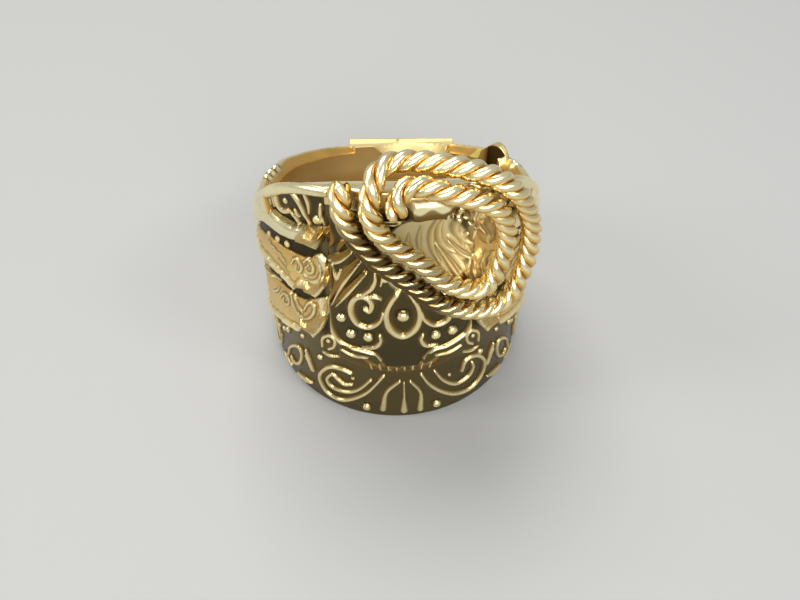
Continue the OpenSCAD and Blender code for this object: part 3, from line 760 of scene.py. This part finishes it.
def inner_face(c):
    """Down the finger hole, finely near the top, with the pocket sunk into it and a seam. Painted shade
    darkens the wall deeper down and the pocket, the seam gets a painted highlight and the strip a painted
    reflection.
    """
    fine = c.inner_top - np.arange(1, 41)[None, :] / 40 * INNER_FINE
    foot = c.foot(BORE_R) + 0.05
    low = fine[:, -1:] + (foot - fine[:, -1:]) * np.linspace(0, 1, 21)[None, 1:]
    z = np.hstack([fine, low])
    sunk = c.pocket_part * (z > POCKET_FLOOR - POCKET_FALL * c.x_pocket)
    seam = line_at(c.az - SEAM_AZ + (15.3 - z) * 1.6, 0.4) * (z > 12.8)
    r = BORE_R + POCKET_DEEP * sunk + 0.04 * seam
    strip = c.strip * smooth(z, 11.5, 12.5)
    # Painted shade deeper down the finger hole
    tint = mix(mix(GOLD, PALE, 0.50), mix(AMBER, GOLD, 0.2), smooth(c.top(BORE_R) - z, 2.2, 4.4) * 0.8)
    # Painted reflection on the strip, painted highlight on the seam, painted shade in the pocket
    tint = mix(tint, YELLOW, strip)
    tint = mix(tint, PALE, seam * 0.7)
    tint = mix(tint, mix(DARK, AMBER, 0.12), sunk)
    return c.point(r, z), tint, 0.34 + 0.10 * strip + 0.2 * sunk


def foot_face(c):
    """Back out along the foot, painted darker as painted shade."""
    r = BORE_R + (c.outer_foot - BORE_R) * FOOT_STEPS[None, :]
    z = c.foot(r)
    return c.point(r, z), np.broadcast_to(mix(DARK, GOLD, 0.6), z.shape + (3,)), np.full(z.shape, 0.3)


def make_mesh(name, points, tints, roughs, faces):
    mesh = bpy.data.meshes.new(name)
    flat = points.reshape(-1, 3) * MM
    mesh.vertices.add(len(flat))
    mesh.vertices.foreach_set("co", flat.astype(np.float32).ravel())
    faces = np.asarray(faces, np.int32)
    mesh.loops.add(faces.size)
    mesh.loops.foreach_set("vertex_index", faces.ravel())
    mesh.polygons.add(len(faces))
    mesh.polygons.foreach_set("loop_start", np.arange(len(faces), dtype=np.int32) * faces.shape[1])
    mesh.polygons.foreach_set("use_smooth", np.full(len(faces), True))
    mesh.update(calc_edges=True)
    mesh.validate()
    colour = mesh.attributes.new("tint", "FLOAT_COLOR", "POINT")
    rgba = np.ones((len(flat), 4), np.float32)
    rgba[:, :3] = tints.reshape(-1, 3)
    colour.data.foreach_set("color", rgba.ravel())
    level = mesh.attributes.new("rough", "FLOAT", "POINT")
    level.data.foreach_set("value", roughs.astype(np.float32).ravel())
    obj = bpy.data.objects.new(name, mesh)
    bpy.context.scene.collection.objects.link(obj)
    return obj


def grid_faces(columns, rows):
    """Faces between neighbouring columns, each of which is a closed ring of rows."""
    i, j = np.meshgrid(np.arange(columns - 1), np.arange(rows), indexing="ij")
    here, ahead, up = i * rows, (i + 1) * rows, (j + 1) % rows
    return np.stack([here + j, ahead + j, ahead + up, here + up], -1).reshape(-1, 4)


def wall_piece(name, azimuths, rows):
    columns = Columns(azimuths)
    faces = [outer_face(columns, rows), top_face(columns), inner_face(columns), foot_face(columns)]
    points, tints, roughs = (np.concatenate(parts, 1) for parts in zip(*faces))
    return make_mesh(name, points, tints, roughs, grid_faces(*points.shape[:2]))


# The rope, on the path in the part's source

FIRST_TURN, LAST_TURN = 0.05, 2.03
COIL_X, COIL_S = 3.2, 22.9
COIL_TILT = np.radians(-43)
COIL_START = 200
COIL_Y = -13.45
SQUASH = 0.6
FRONT_BULGE = 26
BEND_S, BEND_R = 25.9, 3
# The oval at each twelfth of its way round. Columns: radius, growth in one turn.
OVAL = np.array([(3.7, 3.0), (3.95, 2.55), (4.75, 2.5), (5.95, 2.6), (5.8, 2.6), (6.3, 2.15), (4.9, 2.2),
                 (3.55, 2.55), (0.85, 3.55), (1.35, 3.0), (2.55, 3.45), (4.3, 3.55)])
TWELFTH = 30
STRANDS = 3
STRAND_LAY = 3.45
STRAND_R = 0.375
STRAND_OFF = 0.42
STRAND_SIDES = 14
ROPE_STEP = 0.085


def rope_path(t):
    """The rope's centre line at each turn number t."""
    angle = COIL_START - 360 * t
    i = np.floor(angle / TWELFTH).astype(int)
    rows = (OVAL[(i + k) % len(OVAL)] for k in (-1, 0, 1, 2))
    row = cubic(*rows, (angle / TWELFTH - i)[:, None])
    radius = row[:, 0] + row[:, 1] * t
    along, side = radius * np.cos(np.radians(angle)), SQUASH * radius * np.sin(np.radians(angle))
    x = COIL_X + along * np.cos(COIL_TILT) - side * np.sin(COIL_TILT)
    up = COIL_S + along * np.sin(COIL_TILT) + side * np.cos(COIL_TILT)
    bend = np.clip(up - BEND_S, 0, None) / BEND_R
    y = COIL_Y + x * x / FRONT_BULGE + BEND_R * (1 - np.cos(bend))
    return np.stack([x, y, np.minimum(up, BEND_S) + BEND_R * np.sin(bend)], -1)


def unit(v):
    return v / np.linalg.norm(v, axis=-1)[..., None]


def rope(name):
    """The rope's strands as tubes wound round its centre line, with painted highlights on their upper sides
    and painted shade beneath, in the grooves and along the coil's lower left.
    """
    t = np.linspace(FIRST_TURN, LAST_TURN, 6001)
    p = rope_path(t)
    length = np.concatenate([[0], np.cumsum(np.linalg.norm(np.diff(p, axis=0), axis=1))])
    s = np.arange(0, length[-1], ROPE_STEP)
    turn = np.interp(s, length, t)
    # Painted shade: the lower left of the coil is darker, in its outer turn above all
    shade = between(turn, 1.67, 1.75, 1.92, 1.99) + 0.45 * between(turn, 0.68, 0.76, 0.92, 1.0)
    shrink = np.minimum(1, np.minimum(s, s[-1] - s) / 0.45 + 0.25)
    centre = np.stack([np.interp(s, length, p[:, k]) for k in range(3)], -1)
    side = unit(np.cross(unit(np.gradient(centre, axis=0)), [0, -1, 0]))
    out = np.cross(side, unit(np.gradient(centre, axis=0)))
    phi = np.arange(STRAND_SIDES)[None, :, None] / STRAND_SIDES * 2 * np.pi
    strands = []
    for strand in range(STRANDS):
        wind = np.radians(360 / STRANDS * strand - 360 * s / STRAND_LAY)[:, None]
        off = (np.cos(wind) * out + np.sin(wind) * side) * STRAND_OFF
        mid = centre + off
        e1 = unit(off)
        e2 = np.cross(unit(np.gradient(mid, axis=0)), e1)
        ring = np.cos(phi) * e1[:, None] + np.sin(phi) * e2[:, None]
        q = mid[:, None] + ring * (STRAND_R * shrink)[:, None, None]
        away = np.linalg.norm(q - centre[:, None], axis=2)
        # Painted highlights and glints on the strands' upper sides, painted shade underneath and in the
        # grooves
        crest = smooth(away, 0.50, 0.79)
        lit = ring[..., 2] * 0.75 - ring[..., 1] * 0.2
        warm = mix(mix(DARK, AMBER, 0.6), mix(AMBER, GOLD, 0.75), smooth(lit, -0.75, -0.15))
        painted_highlight = mix(warm, PALE, smooth(lit, 0.02, 0.5))
        tint = mix(mix(DARK, AMBER, smooth(away, 0.25, 0.60)), painted_highlight, crest)
        glint = smooth(lit, 0.55, 0.72) * crest
        tint = mix(tint, mix(DARK, AMBER, 0.12), np.clip(shade[:, None] * (1 - 0.75 * glint), 0, 1))
        faces = grid_faces(len(s), STRAND_SIDES) + strand * len(s) * STRAND_SIDES
        strands.append((q.reshape(-1, 3), tint.reshape(-1, 3), (0.30 - 0.10 * crest).ravel(), faces))
    return make_mesh(name, *(np.concatenate(parts) for parts in zip(*strands)))


# Materials

BUMP_DEPTH = 0.00004
PITS_SHARE = 0.28
FLOOR_COLOUR = (0.33, 0.33, 0.325, 1)


def gold_material(name, bump):
    """Gold with an uneven tint, finger smears, fine rubbing, soft casting waves and pits."""
    mat = bpy.data.materials.new(name)
    mat.use_nodes = True
    tree = mat.node_tree
    shader = tree.nodes["Principled BSDF"]
    shader.inputs["Metallic"].default_value = 1.0
    place = tree.nodes.new("ShaderNodeTexCoord").outputs["Object"]

    def attribute(name, output):
        node = tree.nodes.new("ShaderNodeAttribute")
        node.attribute_name = name
        return node.outputs[output]

    def noise(scale, detail):
        node = tree.nodes.new("ShaderNodeTexNoise")
        node.inputs["Scale"].default_value = scale
        node.inputs["Detail"].default_value = detail
        tree.links.new(place, node.inputs["Vector"])
        return node.outputs["Fac"]

    def ramp(value, low, high, to_low, to_high):
        node = tree.nodes.new("ShaderNodeMapRange")
        for key, number in zip(("From Min", "From Max", "To Min", "To Max"), (low, high, to_low, to_high)):
            node.inputs[key].default_value = number
        tree.links.new(value, node.inputs["Value"])
        return node.outputs["Result"]

    def math(kind, *items):
        """A sum or product of outputs and numbers."""
        node = tree.nodes.new("ShaderNodeMath")
        node.operation = kind
        for socket, item in zip(node.inputs, items):
            if isinstance(item, float):
                socket.default_value = item
            else:
                tree.links.new(item, socket)
        return node.outputs[0]

    # Noise scales are per metre
    uneven = tree.nodes.new("ShaderNodeHueSaturation")
    tree.links.new(ramp(noise(220, 4), 0.35, 0.65, 0.92, 1.06), uneven.inputs["Value"])
    # The tint holds the gold's own colour together with painted highlights, shade and reflections
    tree.links.new(attribute("tint", "Color"), uneven.inputs["Color"])
    tree.links.new(uneven.outputs["Color"], shader.inputs["Base Color"])

    smear = ramp(noise(420, 5), 0.3, 0.7, -0.05, 0.09)
    rub = ramp(noise(2600, 3), 0.4, 0.7, 0.0, 0.06)
    rough = math("ADD", math("ADD", attribute("rough", "Fac"), smear), rub)
    tree.links.new(rough, shader.inputs["Roughness"])

    relief = tree.nodes.new("ShaderNodeBump")
    relief.inputs["Strength"].default_value = bump
    relief.inputs["Distance"].default_value = BUMP_DEPTH
    waves, pits = noise(520, 4), noise(3200, 2)
    tree.links.new(math("MULTIPLY_ADD", pits, PITS_SHARE, waves), relief.inputs["Height"])
    tree.links.new(relief.outputs["Normal"], shader.inputs["Normal"])
    return mat


def floor_material():
    mat = bpy.data.materials.new("pale_floor")
    mat.use_nodes = True
    shader = mat.node_tree.nodes["Principled BSDF"]
    shader.inputs["Base Color"].default_value = FLOOR_COLOUR
    shader.inputs["Roughness"].default_value = 0.7
    return mat


# Build

def stations(*runs):
    """Azimuths of one piece's columns. Each run: from, to, how many."""
    return np.unique(np.concatenate([np.linspace(*run) for run in runs]))


cast_gold = gold_material("cast_gold_finish", 0.25)
rope_gold = gold_material("rope_gold_finish", 0.35)

# Columns stand close together at the sharp edges of the pocket, the bright strip and the back plate
front_az = stations((-28, 28, 200))
flaps_az = stations((28, 64, 180))
side_az = stations((64, 113, 122), (113, 113.5, 9), (113.5, 124, 28))
back_az = stations((124, 126.1, 6), (126.1, 126.6, 9), (126.6, 149.8, 40), (149.8, 150.4, 13),
                   (150.4, 152.8, 13), (152.8, 197.8, 64), (197.8, 199.7, 11), (199.7, 200.3, 13),
                   (200.3, 236, 50))
body = [wall_piece("saddle_front", front_az, 318),
        wall_piece("left_flaps", -flaps_az[::-1], 318),
        wall_piece("right_flaps", flaps_az, 318),
        wall_piece("left_side", -side_az[::-1], 300),
        wall_piece("right_side", side_az, 300),
        wall_piece("back_band", back_az, 100)]
for piece in body:
    piece.data.materials.append(cast_gold)
    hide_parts("saddle_ring")
    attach(piece, "root")

lariat = rope("lariat_rope")
lariat.data.materials.append(rope_gold)
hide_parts("lariat")
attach(lariat, "root")

# Stage, light and camera, in metres

bpy.ops.mesh.primitive_plane_add(size=4, location=(0, 0, 0))
floor = bpy.context.object
floor.name = "floor"
floor.data.materials.append(floor_material())

# Columns: name, place, aim, size, power, colour
LIGHTS = [
    ("key", (-0.06, 0.14, 0.40), (0, 0, 0.012), (0.30, 0.20), 1.6, (1.0, 0.98, 0.93)),
    ("fill", (0.26, -0.20, 0.34), (0, 0, 0.012), (0.10, 0.10), 0.5, (0.96, 0.98, 1.0)),
    ("side", (-0.34, -0.06, 0.24), (0, 0, 0.012), (0.10, 0.20), 0.5, (1, 1, 1)),
    ("front", (0.03, -0.34, 0.24), (0, 0, 0.018), (0.30, 0.16), 1.3, (1, 1, 1)),
]
SKY = (0.80, 0.82, 0.84, 1)
SKY_STRENGTH = 0.58
CAMERA_PLACE = (-0.00204, -0.05194, 0.06195)
CAMERA_AIM = (0.00052, 0.00239, 0)
CAMERA_SENSOR = 36
CAMERA_LENS = 36


def add_aimed(name, data, place, aim):
    """Put a light or camera in the scene, looking at its aim."""
    obj = bpy.data.objects.new(name, data)
    obj.location = place
    obj.rotation_euler = (Vector(aim) - Vector(place)).to_track_quat("-Z", "Y").to_euler()
    bpy.context.scene.collection.objects.link(obj)
    return obj


for name, place, aim, size, power, colour in LIGHTS:
    light = bpy.data.lights.new(name, "AREA")
    light.shape = "RECTANGLE"
    light.size, light.size_y = size
    light.energy = power
    light.color = colour
    add_aimed(name, light, place, aim)

world = bpy.data.worlds.new("studio")
bpy.context.scene.world = world
world.use_nodes = True
background = world.node_tree.nodes["Background"]
background.inputs["Color"].default_value = SKY
background.inputs["Strength"].default_value = SKY_STRENGTH

camera_data = bpy.data.cameras.new("camera")
camera_data.sensor_width = CAMERA_SENSOR
camera_data.lens = CAMERA_LENS
camera_data.clip_start = 0.001
bpy.context.scene.camera = add_aimed("camera", camera_data, CAMERA_PLACE, CAMERA_AIM)
bpy.context.scene.view_settings.view_transform = "Standard"
